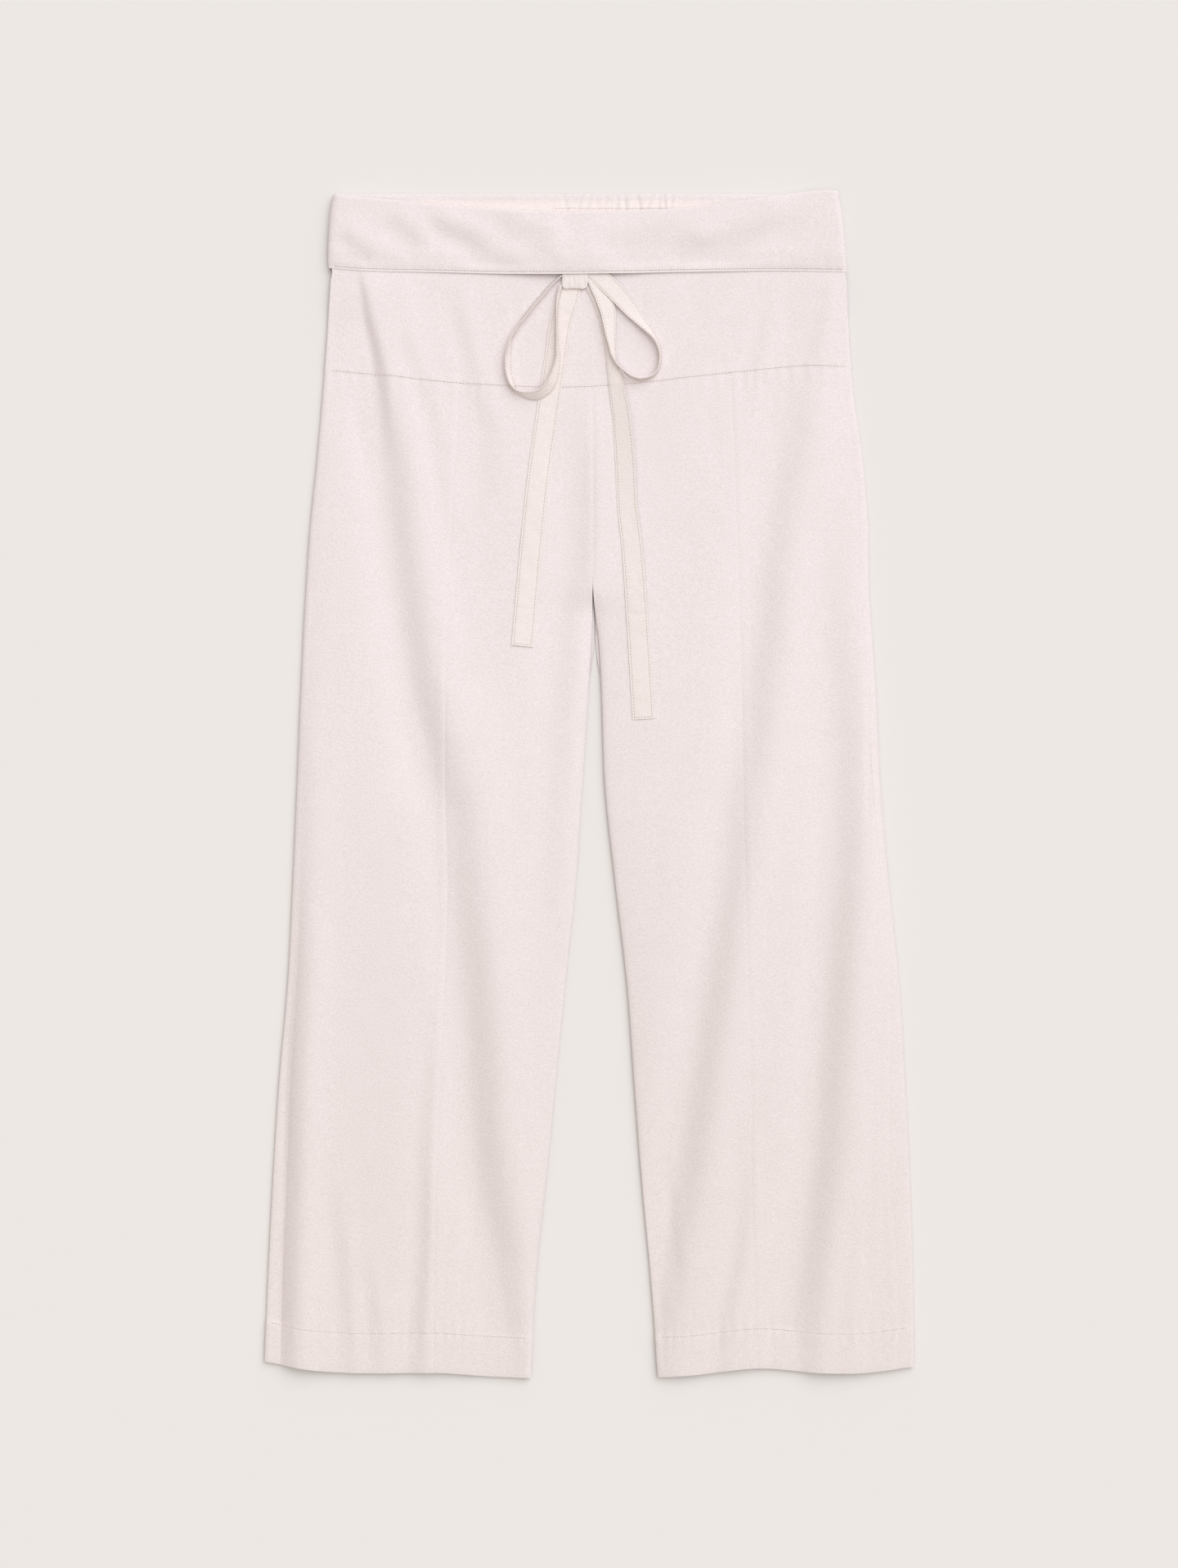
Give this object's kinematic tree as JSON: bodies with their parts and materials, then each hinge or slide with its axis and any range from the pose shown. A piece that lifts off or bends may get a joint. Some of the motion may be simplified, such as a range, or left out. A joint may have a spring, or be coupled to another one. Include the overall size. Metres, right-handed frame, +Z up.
{
  "type": "thai fisherman pants",
  "caption": "Wide-legged cropped cotton trousers laid flat, with a curved yoke seam, a waist folded over at the top, a tie in a bow and turned-up hems.",
  "frame": {"origin": "on the table under the middle of the garment's bounding box", "axes": "+Y from the hems to the waist, +Z up out of the garment's front, +X to the wearer's left side"},
  "size_m": [0.5392, 0.9844, 0.0246],
  "materials": {
    "cloth": "brushed cotton, soft matt nap",
    "tie": "brushed cotton, soft matt nap"
  },
  "bodies": {
    "root": {"waist_front": "cloth", "waist_back": "cloth", "front_outer_right": "cloth", "front_inner_right": "cloth", "front_inner_left": "cloth", "front_outer_left": "cloth", "back_right": "cloth", "back_left": "cloth", "tie_band_front": "tie", "tie_band_back": "tie", "tie_knot": "tie", "tie_loop_right": "tie", "tie_loop_left": "tie", "tie_tail_right": "tie", "tie_tail_left": "tie"}
  },
  "joints": []
}
